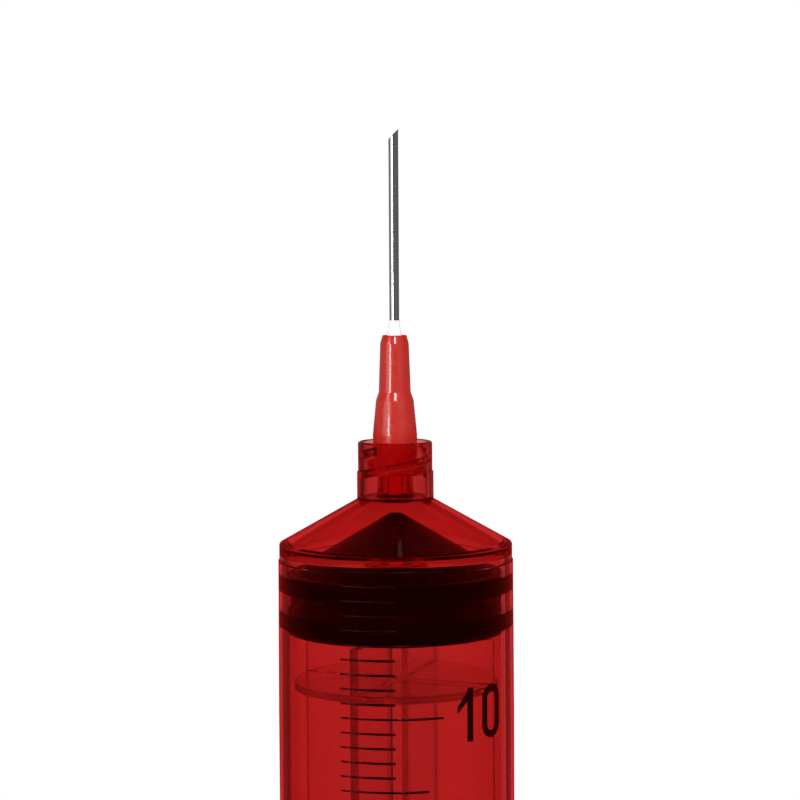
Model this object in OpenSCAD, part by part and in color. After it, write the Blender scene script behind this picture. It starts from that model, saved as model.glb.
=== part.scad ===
// Large disposable syringe with a locking needle, millimetres.
// +Z runs along the axis to the needle point, and the scale faces -Y.
// The origin is the centre of the thumb rest's rear face.

/* [Scale] */
// Last line of the scale, in millilitres
scale_end_ml = 60; // [20:5:60]
// Lines between two numbers, each one millilitre apart
ml_per_number = 10; // [10:10:20]
// Volume that the plunger stands at
shown_ml = 1; // [0:0.01:20]
// Volume that can be drawn past the scale's last line
spare_ml = 2; // [0.5:0.5:8]
// Width of a printed line along the axis
line_w = 0.3; // [0.2:0.05:0.5]
// Height of the print above the plastic
ink_t = 0.05; // [0.03:0.01:0.1]
// Angle from the front at which every line starts
line_start_deg = -26.9; // [-40:0.1:-15]
// Angle at which a one millilitre line ends
line_end_deg = -0.4; // [-10:0.1:5]
// Angle at which a five millilitre line ends
five_end_deg = 15.1; // [8:0.1:20]
// Angle at which a numbered line ends
ten_end_deg = 22.5; // [17:0.1:24]
// Height of a digit
digit_h = 6.5; // [5:0.1:8]
// Width of a round digit
digit_w = 3.34; // [2.6:0.02:3.6]
// Stroke of a digit
digit_s = 0.88; // [0.5:0.02:1]
// Space between the two digits of a number
digit_gap = 1.5; // [0.8:0.05:1.8]
// Angle of the gap between the digits
digit_deg = 41.7; // [38:0.1:50]

/* [Barrel] */
// Bore of the barrel
bore_d = 27; // [25:0.1:30]
// Wall of the barrel
barrel_wall = 1.1; // [0.8:0.05:1.6]
// Slope of the shoulder from the horizontal, in degrees
shoulder_deg = 29.5; // [24:0.5:34]
// Wall of the shoulder, square to its slope
shoulder_wall = 1.1; // [0.8:0.05:1.4]
// How much smaller the nose band's radius is than the tube's
nose_relief = 0.12; // [0.05:0.01:0.3]
// Length of the nose band under the shoulder
nose_len = 2; // [1:0.1:4]
// Rounding of the shoulder's outer corner
corner_r = 0.3; // [0.2:0.05:1]
// Width of the bevel where the bore meets the shoulder
bore_bevel = 1.57; // [1:0.01:2]
// Zero line below the shoulder's corner
zero_drop = 1.8; // [1.6:0.05:3]
// Centre of the retaining bead above the rear face
bead_z = 4.6; // [3.5:0.1:8]
// Half length of the retaining bead
bead_half = 0.8; // [0.5:0.05:1.2]
// How far the retaining bead stands into the bore
bead_rise = 0.4; // [0.2:0.05:0.5]
// Play left between the stopper and the bead at full draw
stop_play = 0.1; // [0.05:0.05:0.5]
// Bevel of the open end
mouth_bevel = 0.5; // [0.2:0.05:0.8]

/* [Finger flange] */
// Diameter across the two wings
flange_d = 47; // [40:0.5:56]
// Width across the flats
flange_w = 33; // [31:0.5:38]
// Thickness of the flange
flange_t = 2.2; // [1.6:0.1:3]
// Rounding of the flange's rim
flange_edge = 0.5; // [0.2:0.05:0.7]
// Web between the flange and the tube
flange_web = 1; // [0.4:0.1:2]

/* [Locking collar] */
// Height of the collar above the shoulder
collar_h = 7; // [6:0.1:9]
// Diameter of the collar's upper part
collar_top_d = 9.16; // [9:0.02:9.4]
// Diameter of the collar's lower part
collar_low_d = 9.44; // [9.3:0.02:10]
// Step in the collar below its rim
collar_step = 3.7; // [2.5:0.1:5]
// Root diameter of the collar's thread
thread_root_d = 8; // [7.9:0.02:8.1]
// Crest diameter of the collar's thread
thread_crest_d = 7; // [6.9:0.02:7.1]
// Advance of the thread in one turn
thread_lead = 5; // [5:0.5:6]
// Starts of the thread
thread_starts = 2; // [2:1:2]
// Length of the thread along the axis, centre to centre
thread_rise = 3.3; // [2.5:0.1:3.8]
// Start of the thread's centre line below the rim
thread_top = 1; // [0.8:0.05:1.4]
// Width of a ridge at its root
ridge_root_w = 1; // [0.8:0.05:1.2]
// Width of a ridge at its crest
ridge_crest_w = 0.55; // [0.4:0.05:0.7]
// How far a ridge runs into the collar wall
ridge_sink = 0.12; // [0.05:0.01:0.2]

/* [Taper] */
// Diameter of the male taper at its end
taper_d = 3.95; // [3.9:0.01:4]
// How far the male taper stands out of the collar
taper_out = 2.1; // [1.8:0.1:2.5]
// Bore through the male taper
taper_bore_d = 2.1; // [1.6:0.1:2.4]
// Rounding of the taper's end
taper_edge = 0.25; // [0.1:0.05:0.4]
// Running clearance between the tapers, on the radius
taper_gap = 0.02; // [0.01:0.01:0.05]

/* [Stopper] */
// Running clearance of a rib in the bore, on the radius
rib_gap = 0.02; // [0.01:0.01:0.1]
// Length of the front rib
front_rib = 2.2; // [1.8:0.1:3]
// Length of the groove between the ribs
groove_len = 2.4; // [1.6:0.1:2.6]
// Depth of the groove
groove_depth = 0.45; // [0.3:0.05:1.6]
// Length of the rear rib
rear_rib = 2.8; // [2:0.1:3.4]
// Slope of the cone from the horizontal, in degrees
cone_deg = 29.5; // [28:0.5:33]
// Diameter of the cone's foot, inside the front rib's flat edge
cone_foot_d = 24.8; // [23:0.1:25.4]
// Flat at the cone's point, as a diameter
cone_flat_d = 1.5; // [1:0.1:2]
// Rounding of the rear rib's rear edge
rib_edge = 0.8; // [0.3:0.05:1.2]
// Thickness of the lip behind the snap head
lip_t = 2; // [1.6:0.1:2.6]

/* [Plunger rod] */
// Clearance of the fins in the bore, on the radius
fin_gap = 0.9; // [0.5:0.05:2]
// Thickness of a fin
fin_t = 1.1; // [0.9:0.05:1.6]
// Diameter of the core where the fins cross
core_d = 3.2; // [2.4:0.1:5]
// Turn of the fins about the axis, in degrees
fin_turn = -23.3; // [-45:0.1:45]
// Clearance of the bracing disc in the bore, on the radius
disc_gap = 0.85; // [0.5:0.05:1.5]
// Thickness of the bracing disc
disc_t = 0.9; // [0.7:0.05:1.5]
// Middle of the bracing disc behind the stopper
disc_back = 6.4; // [5:0.1:12]
// Diameter of the plate behind the stopper
plate_d = 17; // [14:0.5:20]
// Thickness of that plate
plate_t = 0.8; // [0.6:0.05:1.5]
// Gap between that plate and the stopper
plate_gap = 0.06; // [0.03:0.01:0.2]
// Diameter of the neck through the stopper's lip
neck_d = 8.4; // [7:0.1:9]
// Running clearance of the neck, on the radius
neck_gap = 0.05; // [0.02:0.01:0.1]
// Diameter of the snap head
head_d = 12.6; // [11:0.1:14]
// Length of the snap head's straight part
head_len = 1.6; // [1.2:0.1:2.2]
// Length of the snap head's conical end
head_cone = 2.4; // [2:0.1:3]
// Play of the snap head in its recess
head_play = 0.1; // [0.05:0.01:0.2]

/* [Thumb rest] */
// Diameter of the thumb rest
thumb_d = 30.5; // [28:0.5:36]
// Thickness of the thumb rest
thumb_t = 2.4; // [1.8:0.1:3.5]
// Rounding of its rim
thumb_edge = 0.7; // [0.3:0.05:0.85]
// Rings cut in its rear face
ring_count = 3; // [2:1:4]
// Width of a ring
ring_w = 0.8; // [0.5:0.1:1.2]
// Depth of a ring
ring_depth = 0.35; // [0.2:0.05:0.6]
// Space from one ring to the next
ring_pitch = 2.6; // [2:0.1:3]
// From the flange to the thumb rest's rear face with the plunger home
home_gap = 12.5; // [10:0.5:20]

/* [Needle hub] */
// Length of the hub
hub_len = 17.2; // [16:0.1:20]
// Hub's foot below the collar's rim
hub_sink = 4.13; // [3.8:0.01:4.3]
// Diameter of the flange at the hub's foot
hub_flange_d = 6.6; // [6.3:0.05:6.7]
// Thickness of that flange
hub_flange_t = 1; // [0.8:0.05:1.2]
// Diameter of the hub at the collar
hub_low_d = 5.46; // [5.3:0.02:5.7]
// Top of the straight part above the foot
hub_low_z = 4.9; // [4.4:0.1:5.4]
// Diameter below the step
hub_mid_d = 4.64; // [4.5:0.02:4.8]
// Height of the step's foot
hub_mid_z = 9.2; // [8.9:0.1:9.6]
// Length of the step
hub_step = 1; // [0.6:0.1:1.3]
// Diameter above the step
hub_neck_d = 3.94; // [3.8:0.02:4.1]
// Diameter under the top bevel
hub_top_d = 3.52; // [3.3:0.02:3.7]
// Length of the top bevel
hub_bevel = 1; // [0.6:0.1:1.4]
// Diameter of the hub's top rim
hub_rim_d = 2.94; // [2.7:0.02:3.2]
// Depth of the female taper
socket_depth = 8.4; // [7.8:0.1:8.8]
// Length of the funnel from the socket to the needle
funnel_len = 1.6; // [1.3:0.1:2]
// Depth of the cup that holds the adhesive
cup_depth = 1.3; // [1:0.1:2]
// Diameter of that cup
cup_d = 2.1; // [1.9:0.05:2.3]
// Play between the adhesive and the cup
cup_gap = 0.04; // [0.02:0.01:0.08]
// Width of a lug at its root
lug_root_w = 1; // [0.8:0.05:1.2]
// Width of a lug at its crest
lug_crest_w = 0.7; // [0.5:0.05:0.8]
// Diameter across the lugs
lug_d = 7.74; // [7.5:0.02:7.8]
// Angle that a lug covers
lug_deg = 50; // [40:1:80]
// How far a lug runs into the hub wall
lug_sink = 0.25; // [0.1:0.05:0.3]
// Play between a lug and the ridge in front of it
lug_play = 0.1; // [0.05:0.05:0.3]

/* [Needle] */
// Outside diameter of the needle tube
needle_d = 1.2; // [1:0.01:1.27]
// Wall of the needle tube
needle_wall = 0.18; // [0.12:0.01:0.25]
// Length of needle above the hub
needle_out = 25.2; // [20:0.1:45]
// Slope of the point's cut from the horizontal, in degrees
point_deg = 46; // [35:1:60]
// Play between the needle tube and the hub's hole
needle_gap = 0.02; // [0.01:0.01:0.05]
// Height of the adhesive above the hub
glue_h = 1.8; // [1:0.1:2.5]
// Diameter of the adhesive just above the hub
glue_d = 1.8; // [1.5:0.05:2]
// Diameter of the adhesive at its top
glue_top_d = 1.34; // [1.3:0.02:1.5]

/* [Hidden] */

$fn = 96;
// one overrun for every cut
over = 1;

// barrel radii, and the length of one millilitre in the bore
bore_r = bore_d / 2;
tube_r = bore_r + barrel_wall;
nose_r = tube_r - nose_relief;
// edge of the cube that holds one millilitre
ml_edge = 10;
long_every_ml = 5;
decade_ml = 10;
ml_len = ml_edge * ml_edge * ml_edge / (PI * bore_r * bore_r);
draw = shown_ml * ml_len;
full_draw = (scale_end_ml + spare_ml) * ml_len;

// stopper radii and heights
rib_r = bore_r - rib_gap;
groove_r = rib_r - groove_depth;
neck_r = neck_d / 2;
head_r = head_d / 2;
seal_len = front_rib + groove_len + rear_rib;
cone_flat_r = cone_flat_d / 2;
cone_foot_r = cone_foot_d / 2;
cone_h = (cone_foot_r - cone_flat_r) * tan(cone_deg);

// collar and tapers, whose radius grows by three hundredths of the length
taper_share = 0.03;
collar_top_r = collar_top_d / 2;
collar_low_r = collar_low_d / 2;
root_r = thread_root_d / 2;
crest_r = thread_crest_d / 2;
taper_r = taper_d / 2;
taper_bore_r = taper_bore_d / 2;

// places along the axis, from the thumb rest to the needle's point
tube_len = zero_drop + full_draw + seal_len + stop_play + bead_half + bead_z;
shoulder_h = (nose_r - collar_low_r) * tan(shoulder_deg);
shoulder_drop = shoulder_wall / cos(shoulder_deg);
grip_z = home_gap + draw;
corner_z = grip_z + tube_len;
zero_z = corner_z - zero_drop;
collar_z = corner_z + shoulder_h;
rim_z = collar_z + collar_h;
taper_z = rim_z + taper_out;
fiducial_z = zero_z - draw;
stop_z = fiducial_z - seal_len;
head_z = stop_z + lip_t + head_play;
hub_z = rim_z - hub_sink;
hub_top_z = hub_z + hub_len;
tip_z = hub_top_z + needle_out;

// height of the shoulder's inner face at a radius
function inner_z(r) = corner_z + (nose_r - r) * tan(shoulder_deg) - shoulder_drop;
// radius of the male taper at a height
function male_r(z) = taper_r + (taper_z - z) * taper_share;
// points of an arc about a centre
arc_steps = 8;
function arc(x, y, r, from, to) = [for (i = [0:arc_steps])
    let (a = from + (to - from) * i / arc_steps) [x + r * cos(a), y + r * sin(a)]];
// angle round the barrel that a length of arc covers
function round_deg(length) = length / tube_r * 180 / PI;

// thread
ridge_pitch = thread_lead / thread_starts;
ridge_z = rim_z - thread_top - thread_rise;
ridge_turn = 360 * thread_rise / thread_lead;
start_turn = 360 / thread_starts;
sweep_step_deg = 12;

// four corners of a ridge at one angle, from its inner face to its outer face
function ridge_ring(a, z, ri, ro, wi, wo) = [
    [ri * cos(a), ri * sin(a), z - wi / 2],
    [ro * cos(a), ro * sin(a), z - wo / 2],
    [ro * cos(a), ro * sin(a), z + wo / 2],
    [ri * cos(a), ri * sin(a), z + wi / 2]];

// a ridge wound along the thread's helix
module helix_ridge(from_deg, turn_deg, z, ri, ro, wi, wo) {
    steps = ceil(turn_deg / sweep_step_deg);
    points = [for (i = [0:steps]) let (a = turn_deg * i / steps)
        each ridge_ring(from_deg + a, z + thread_lead * a / 360, ri, ro, wi, wo)];
    last = 4 * steps;
    sides = [for (i = [0:steps - 1], k = [0:3]) let (b = 4 * i, n = (k + 1) % 4)
        each [[b + k, b + n, b + 4 + k], [b + n, b + 4 + n, b + 4 + k]]];
    ends = [[0, 2, 1], [0, 3, 2], [last, last + 1, last + 2], [last, last + 2, last + 3]];
    polyhedron(points = points, faces = concat(sides, ends), convexity = 6);
}

// a bar's section with round edges
module round_bar(w, h, r) {
    square([w - 2 * r, h], center = true);
    square([w, h - 2 * r], center = true);
    for (x = [-1, 1], y = [-1, 1])
        translate([x * (w / 2 - r), y * (h / 2 - r)]) circle(r = r);
}

// section of the tube, the shoulder, the collar and the male taper
module barrel_section() {
    collar_rim_r = (collar_top_r - root_r) / 2;
    corner_mid_z = corner_z - corner_r * tan(45 - shoulder_deg / 2);
    bead_flat = bead_half / 2;
    bevel_r = bore_r - bore_bevel;
    polygon([
        [bore_r + mouth_bevel, grip_z],
        [tube_r + flange_web, grip_z],
        [tube_r + flange_web, grip_z + flange_t],
        [tube_r, grip_z + flange_t + flange_web],
        [tube_r, corner_z - nose_len - nose_relief],
        [nose_r, corner_z - nose_len],
        each arc(nose_r - corner_r, corner_mid_z, corner_r, 0, 90 - shoulder_deg),
        [collar_low_r, collar_z],
        [collar_low_r, rim_z - collar_step],
        [collar_top_r, rim_z - collar_step],
        each arc(root_r + collar_rim_r, rim_z - collar_rim_r, collar_rim_r, 0, 180),
        [root_r, collar_z],
        [male_r(collar_z), collar_z],
        each arc(taper_r - taper_edge, taper_z - taper_edge, taper_edge, 0, 90),
        [taper_bore_r, taper_z],
        [taper_bore_r, inner_z(taper_bore_r)],
        [bevel_r, inner_z(bevel_r)],
        [bore_r, inner_z(bevel_r) - bore_bevel],
        [bore_r, grip_z + bead_z + bead_half],
        [bore_r - bead_rise, grip_z + bead_z + bead_flat],
        [bore_r - bead_rise, grip_z + bead_z - bead_flat],
        [bore_r, grip_z + bead_z - bead_half],
        [bore_r, grip_z + mouth_bevel]]);
}

// two wings for the fingers, flat front and back
module finger_flange() {
    difference() {
        intersection() {
            rotate_extrude() intersection() {
                round_bar(flange_d, flange_t, flange_edge);
                translate([0, -flange_t]) square([flange_d, 2 * flange_t]);
            }
            rotate([90, 0, 90]) translate([0, 0, -flange_d])
                linear_extrude(2 * flange_d) round_bar(flange_w, flange_t, flange_edge);
        }
        translate([0, 0, -flange_t]) cylinder(r = tube_r, h = 2 * flange_t);
    }
}

module barrel() {
    color([0.67, 0.11, 0.12, 0.55]) {
        rotate_extrude() barrel_section();
        translate([0, 0, grip_z + flange_t / 2]) finger_flange();
        for (i = [0:thread_starts - 1])
            helix_ridge(i * start_turn, ridge_turn, ridge_z,
                crest_r, root_r + ridge_sink, ridge_crest_w, ridge_root_w);
    }
}

// one printed line, level with a volume
module mark(ml, end_deg) {
    translate([0, 0, zero_z - ml * ml_len - line_w / 2])
        rotate([0, 0, line_start_deg - 90])
            rotate_extrude(angle = end_deg - line_start_deg)
                translate([tube_r, 0]) square([ink_t, line_w]);
}

module unit_marks() {
    color("black") for (ml = [1:scale_end_ml]) if (ml % long_every_ml != 0)
        mark(ml, line_end_deg);
}

module five_marks() {
    color("black") for (ml = [long_every_ml:long_every_ml:scale_end_ml])
        if (ml % ml_per_number != 0) mark(ml, five_end_deg);
}

module ten_marks() {
    color("black") for (ml = [0:ml_per_number:scale_end_ml]) mark(ml, ten_end_deg);
}

// digits, with shares of their height, of their width or of their stroke
half_w = digit_w / 2;
half_h = digit_h / 2;
bow_z = (digit_h - digit_w) / 2;
flag_foot_share = 0.45;
flag_tip_share = 0.33;
flag_root_share = 0.25;
flag_reach_stroke_share = 1.6;
flag_top_stroke_share = 0.6;
knee_share = 0.1;
tail_stroke_share = 1.2;
three_cut_stroke_share = 0.2;
four_bar_share = 0.22;
four_stem_stroke_share = 1.5;
five_bowl_share = 0.62;
five_bar_width_share = 0.95;
five_post_share = 0.1;
five_cut_share = 0.06;
six_bowl_share = 0.6;

// an upright oval with straight sides, and the same as a ring
module oval(w, h) {
    square([w, h - w], center = true);
    for (y = [-1, 1]) translate([0, y * (h - w) / 2]) circle(d = w);
}

module oval_ring(w, h) {
    difference() {
        oval(w, h);
        oval(w - 2 * digit_s, h - 2 * digit_s);
    }
}

// the upper half of a round ring at the top of a digit
module top_bow() {
    translate([0, bow_z]) difference() {
        circle(d = digit_w);
        circle(d = digit_w - 2 * digit_s);
        translate([-digit_w, -digit_w]) square([2 * digit_w, digit_w]);
    }
}

module digit_one() {
    flag_x = half_w - digit_s - digit_s * flag_reach_stroke_share;
    translate([half_w - digit_s, -half_h]) square([digit_s, digit_h]);
    polygon([
        [flag_x, half_h - digit_h * flag_foot_share],
        [flag_x, half_h - digit_h * flag_tip_share],
        [half_w - digit_s * flag_top_stroke_share, half_h],
        [half_w, half_h],
        [half_w - digit_s, half_h - digit_h * flag_root_share]]);
}

module digit_two() {
    knee_z = bow_z - digit_h * knee_share;
    foot_z = -half_h + digit_s;
    top_bow();
    translate([half_w - digit_s, knee_z]) square([digit_s, bow_z - knee_z]);
    polygon([
        [half_w - digit_s, knee_z], [half_w, knee_z],
        [-half_w + digit_s * tail_stroke_share, foot_z], [-half_w, foot_z]]);
    translate([-half_w, -half_h]) square([digit_w, digit_s]);
}

module digit_three() {
    bow_h = (digit_h + digit_s) / 2;
    mid_z = (digit_h - bow_h) / 2;
    difference() {
        for (y = [-1, 1]) translate([0, y * mid_z]) oval_ring(digit_w, bow_h);
        translate([-digit_w, -mid_z])
            square([digit_w - digit_s * three_cut_stroke_share, 2 * mid_z]);
    }
}

module digit_four() {
    bar_z = -half_h + digit_h * four_bar_share;
    stem_x = half_w - digit_s * four_stem_stroke_share;
    translate([stem_x, -half_h]) square([digit_s, digit_h]);
    translate([-half_w, bar_z]) square([digit_w, digit_s]);
    polygon([
        [-half_w, bar_z + digit_s], [-half_w + digit_s, bar_z + digit_s],
        [stem_x + digit_s, half_h], [stem_x, half_h]]);
}

module digit_five() {
    bowl_h = digit_h * five_bowl_share;
    mid_z = -half_h + bowl_h / 2;
    post_z = mid_z + digit_h * five_post_share;
    cut_z = mid_z - digit_h * five_cut_share;
    translate([-half_w, half_h - digit_s]) square([digit_w * five_bar_width_share, digit_s]);
    translate([-half_w, post_z]) square([digit_s, half_h - post_z]);
    difference() {
        translate([0, mid_z]) oval_ring(digit_w, bowl_h);
        translate([-digit_w, cut_z]) square([digit_w, post_z - cut_z]);
    }
}

module digit_six() {
    bowl_h = digit_h * six_bowl_share;
    mid_z = -half_h + bowl_h / 2;
    top_bow();
    translate([-half_w, mid_z]) square([digit_s, bow_z - mid_z]);
    translate([0, mid_z]) oval_ring(digit_w, bowl_h);
}

module digit(n) {
    if (n == 0) oval_ring(digit_w, digit_h);
    if (n == 1) digit_one();
    if (n == 2) digit_two();
    if (n == 3) digit_three();
    if (n == 4) digit_four();
    if (n == 5) digit_five();
    if (n == 6) digit_six();
}

// a digit carried out from the axis, level with a volume
module digit_block(n, deg, ml) {
    rotate([0, 0, deg]) translate([0, 0, zero_z - ml * ml_len])
        rotate([90, 0, 0]) linear_extrude(tube_r + over) digit(n);
}

module scale_numbers() {
    side_deg = round_deg((digit_gap + digit_w) / 2);
    color("black") intersection() {
        union() for (ml = [ml_per_number:ml_per_number:scale_end_ml]) {
            digit_block(ml / decade_ml, digit_deg - side_deg, ml);
            digit_block(0, digit_deg + side_deg, ml);
        }
        difference() {
            translate([0, 0, grip_z]) cylinder(r = tube_r + ink_t, h = tube_len);
            translate([0, 0, grip_z - over]) cylinder(r = tube_r, h = tube_len + 2 * over);
        }
    }
}

// section of the stopper, solid but for its groove
module stopper_section() {
    // the groove is one arc through its two edges and its floor
    half_groove = groove_len / 2;
    groove_arc_r = (half_groove * half_groove + groove_depth * groove_depth)
        / (2 * groove_depth);
    difference() {
        polygon([
            [0, stop_z],
            [rib_r - rib_edge, stop_z],
            each arc(rib_r - rib_edge, stop_z + rib_edge, rib_edge, -90, 0),
            [rib_r, fiducial_z],
            [cone_foot_r, fiducial_z],
            [cone_flat_r, fiducial_z + cone_h],
            [0, fiducial_z + cone_h]]);
        translate([groove_r + groove_arc_r, stop_z + rear_rib + half_groove])
            circle(r = groove_arc_r);
    }
}

// the snap head's section, grown on every side by a play
module head_section(play) {
    end_r = head_r - head_cone;
    polygon([
        [0, head_z - play],
        [head_r + play, head_z - play],
        [head_r + play, head_z + head_len],
        [end_r + play, head_z + head_len + head_cone],
        [end_r, head_z + head_len + head_cone + play],
        [0, head_z + head_len + head_cone + play]]);
}

module stopper() {
    color([0.09, 0.08, 0.09]) difference() {
        rotate_extrude() stopper_section();
        rotate_extrude() head_section(head_play);
        translate([0, 0, stop_z - over]) cylinder(r = neck_r + neck_gap, h = lip_t + over);
    }
}

module fins(from_z, to_z) {
    fin_d = bore_d - 2 * fin_gap;
    translate([0, 0, from_z]) rotate([0, 0, fin_turn]) linear_extrude(to_z - from_z) {
        square([fin_d, fin_t], center = true);
        square([fin_t, fin_d], center = true);
        circle(d = core_d);
    }
}

module thumb_rest() {
    thumb_r = thumb_d / 2;
    first_ring_r = (thumb_r - (ring_count - 1) * ring_pitch) / 2;
    rotate_extrude() difference() {
        polygon([
            [0, 0],
            each arc(thumb_r - thumb_edge, thumb_edge, thumb_edge, -90, 0),
            each arc(thumb_r - thumb_edge, thumb_t - thumb_edge, thumb_edge, 0, 90),
            [0, thumb_t]]);
        for (i = [0:ring_count - 1])
            translate([first_ring_r + i * ring_pitch, -over]) square([ring_w, over + ring_depth]);
    }
}

module plunger_rod() {
    plate_z = stop_z - plate_gap - plate_t;
    color([0.72, 0.14, 0.14, 0.6]) union() {
        thumb_rest();
        fins(thumb_t / 2, plate_z + plate_t / 2);
        translate([0, 0, stop_z - disc_back - disc_t / 2]) cylinder(r = bore_r - disc_gap, h = disc_t);
        translate([0, 0, plate_z]) cylinder(d = plate_d, h = plate_t);
        translate([0, 0, plate_z]) cylinder(r = neck_r, h = head_z - plate_z);
        rotate_extrude() head_section(0);
    }
}

// section of the hub, on its own foot
module hub_section() {
    hub_low_r = hub_low_d / 2;
    hole_r = needle_d / 2 + needle_gap;
    socket_top_z = hub_z + socket_depth;
    polygon([
        [male_r(hub_z) + taper_gap, hub_z],
        [hub_flange_d / 2, hub_z],
        [hub_flange_d / 2, hub_z + hub_flange_t],
        [hub_low_r, hub_z + hub_flange_t],
        [hub_low_r, hub_z + hub_low_z],
        [hub_mid_d / 2, hub_z + hub_mid_z],
        [hub_neck_d / 2, hub_z + hub_mid_z + hub_step],
        [hub_top_d / 2, hub_top_z - hub_bevel],
        [hub_rim_d / 2, hub_top_z],
        [cup_d / 2, hub_top_z],
        [cup_d / 2, hub_top_z - cup_depth],
        [hole_r, hub_top_z - cup_depth],
        [hole_r, socket_top_z + funnel_len],
        [male_r(socket_top_z) + taper_gap, socket_top_z]]);
}

module needle_hub() {
    lug_z = hub_z + lug_root_w / 2;
    // turn at which a lug lies just behind a ridge
    ridge_space = (ridge_root_w + lug_crest_w) / 2 + lug_play;
    lug_from = (lug_z + ridge_space - ridge_z) / thread_lead * 360;
    color([0.8, 0.2, 0.18]) union() {
        rotate_extrude() hub_section();
        for (i = [0:thread_starts - 1])
            helix_ridge(lug_from + i * start_turn, lug_deg, lug_z,
                hub_low_d / 2 - lug_sink, lug_d / 2, lug_root_w, lug_crest_w);
    }
}

module cannula() {
    needle_r = needle_d / 2;
    foot_z = hub_z + socket_depth + funnel_len;
    color([0.62, 0.62, 0.63]) difference() {
        translate([0, 0, foot_z]) cylinder(r = needle_r, h = tip_z - foot_z);
        translate([0, 0, foot_z - over])
            cylinder(r = needle_r - needle_wall, h = tip_z - foot_z + 2 * over);
        translate([needle_r, 0, tip_z]) rotate([0, -point_deg, 0])
            translate([-needle_out / 2, -needle_out / 2, 0]) cube(needle_out);
    }
}

module adhesive_bead() {
    fill_r = cup_d / 2 - cup_gap;
    base_z = hub_top_z - cup_depth + cup_gap;
    color([0.95, 0.95, 0.94]) rotate_extrude() polygon([
        [needle_d / 2, base_z],
        [fill_r, base_z],
        [fill_r, hub_top_z],
        for (i = [0:arc_steps]) let (t = i / arc_steps, s = (1 - t) * (1 - t))
            [glue_top_d / 2 + (glue_d - glue_top_d) / 2 * s, hub_top_z + glue_h * t],
        [needle_d / 2, hub_top_z + glue_h]]);
}

barrel();
unit_marks();
five_marks();
ten_marks();
scale_numbers();
stopper();
plunger_rod();
needle_hub();
cannula();
adhesive_bead();
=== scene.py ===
import math

import bmesh
import bpy
from mathutils import Matrix, Vector


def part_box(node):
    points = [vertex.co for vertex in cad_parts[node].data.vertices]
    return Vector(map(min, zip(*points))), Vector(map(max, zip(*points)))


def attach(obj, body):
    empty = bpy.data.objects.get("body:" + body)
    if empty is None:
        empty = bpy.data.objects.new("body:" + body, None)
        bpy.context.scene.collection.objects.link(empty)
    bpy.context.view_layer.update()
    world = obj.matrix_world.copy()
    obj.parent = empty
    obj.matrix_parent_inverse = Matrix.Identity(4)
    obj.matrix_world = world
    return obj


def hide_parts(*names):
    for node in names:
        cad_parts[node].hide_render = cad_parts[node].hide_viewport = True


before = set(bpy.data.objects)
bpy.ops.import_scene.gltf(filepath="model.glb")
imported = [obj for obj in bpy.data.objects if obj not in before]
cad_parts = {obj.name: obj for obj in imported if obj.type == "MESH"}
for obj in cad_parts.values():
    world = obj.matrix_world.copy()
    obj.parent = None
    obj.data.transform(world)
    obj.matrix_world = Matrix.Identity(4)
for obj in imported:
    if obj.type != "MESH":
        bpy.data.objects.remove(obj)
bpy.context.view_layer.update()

MM = 0.001
MM3_PER_ML = 1000


def low_z(node):
    """The lowest height of a node, in millimetres."""
    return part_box(node)[0][2] / MM


def high_z(node):
    """The highest height of a node, in millimetres."""
    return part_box(node)[1][2] / MM


# Sizes in millimetres. The heights come from the frame.
# Tube and shoulder
BORE_R = 13.5
TUBE_R = 14.6
NOSE_R = 14.48
NOSE_LEN = 2
NOSE_STEP, NOSE_FILLET = 0.12, 0.1
DRAFT, DRAFT_FROM_Z, DRAFT_FILLET = 0.09, 116, 5
SHOULDER_DEG = 29.5
SHOULDER_DROP = 0.12
SHOULDER_WALL = 1.4
CORNER_FILLET, SLOPE_FILLET = 0.3, 8
BORE_BEVEL, BEVEL_TOP_FILLET, BEVEL_LOW_FILLET = 0.75, 0.4, 0.25
MOUTH_BEVEL, MOUTH_FILLET = 0.5, 0.3

# Scale
ZERO_DROP = 1.8
ML_LEN = MM3_PER_ML / (math.pi * BORE_R * BORE_R)
SCALE_END_ML = 60

# Retaining bead and finger flange
BEAD_Z, BEAD_HALF, BEAD_RISE = 4.6, 0.8, 0.4
BEAD_FOOT_FILLET, BEAD_TOP_FILLET = 0.3, 0.2
FLANGE_R = 23.5
FLANGE_HALF_W = 16.5
FLANGE_T = 2.2
FLANGE_EDGE = 0.5
FLANGE_WEB = 1
FLANGE_CORNER = 0.35

# Collar and its thread
COLLAR_H = 7
COLLAR_TOP_R = 4.58
COLLAR_LOW_R = 4.72
COLLAR_STEP, COLLAR_STEP_FILLET = 3.7, 0.05
COLLAR_FOOT_FILLET = 0.25
COLLAR_FLOOR_H, COLLAR_FLOOR_FILLET = 0.3, 0.25
ROOT_R, CREST_R = 4.0, 3.5
RIDGE_ROOT_W, RIDGE_CREST_W = 1, 0.55
THREAD_LEAD = 5
THREAD_STARTS = 2
THREAD_RISE = 3.3
THREAD_TOP = 1
THREAD_END_DEG = 9
THREAD_RING = 0.075

# Male taper
TAPER_R = 1.975
TAPER_OUT = 2.1
TAPER_SHARE = 0.03
TAPER_EDGE, TAPER_FOOT_FILLET = 0.25, 0.5
TAPER_BORE_R, TAPER_BORE_EDGE, TAPER_BORE_FILLET = 1.05, 0.08, 0.3

# Heights of the barrel
GRIP_Z = low_z("barrel")
TAPER_Z = high_z("barrel")
RIM_Z = TAPER_Z - TAPER_OUT
COLLAR_Z = RIM_Z - COLLAR_H
SLOPE = math.tan(math.radians(SHOULDER_DEG))
CORNER_Z = COLLAR_Z - (NOSE_R - COLLAR_LOW_R) * SLOPE
ZERO_Z = CORNER_Z - ZERO_DROP
RIDGE_Z = RIM_Z - THREAD_TOP - THREAD_RISE
RIDGE_TURN_DEG = 360 * THREAD_RISE / THREAD_LEAD

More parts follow.
